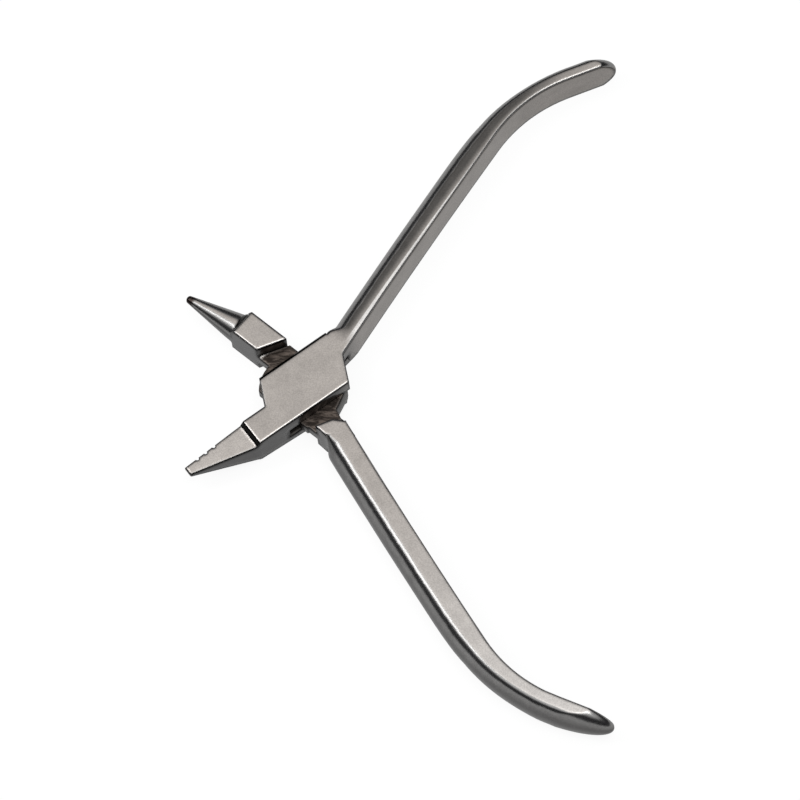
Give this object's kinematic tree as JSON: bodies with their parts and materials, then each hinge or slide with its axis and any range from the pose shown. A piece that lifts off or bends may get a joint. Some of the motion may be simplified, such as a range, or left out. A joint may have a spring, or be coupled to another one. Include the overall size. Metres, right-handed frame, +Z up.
{
  "type": "orthodontic bird-beak pliers",
  "caption": "Slender stainless wire-bending pliers with a box joint, a round cone beak facing a grooved square pyramid beak, and long handles that curve inwards at the ends.",
  "frame": {"origin": "on the pivot axis, in the plane of the underside that the pliers lie on", "axes": "+Z up along the pivot axis, +X from the joint towards the handles along the middle of the opening, +Y towards the box half's handle"},
  "size_m": [0.0944, 0.1581, 0.0098],
  "materials": {
    "box_half_steel": "satin ground top faces, semi-polished rounded sides",
    "tongue_half_steel": "satin ground top faces, polished round beak, heat-tinted tongue",
    "pin_steel": "satin, ground flush"
  },
  "bodies": {
    "box_side": {"box_half": "box_half_steel", "pivot_pin": "pin_steel"},
    "tongue_side": {"tongue_half": "tongue_half_steel"}
  },
  "joints": [
    {"name": "pivot", "type": "hinge", "parent": "box_side", "child": "tongue_side", "pos_m": [0, 0, 0.0049], "axis": [0, 0, 1], "range_deg": [-25, 76.8]}
  ]
}
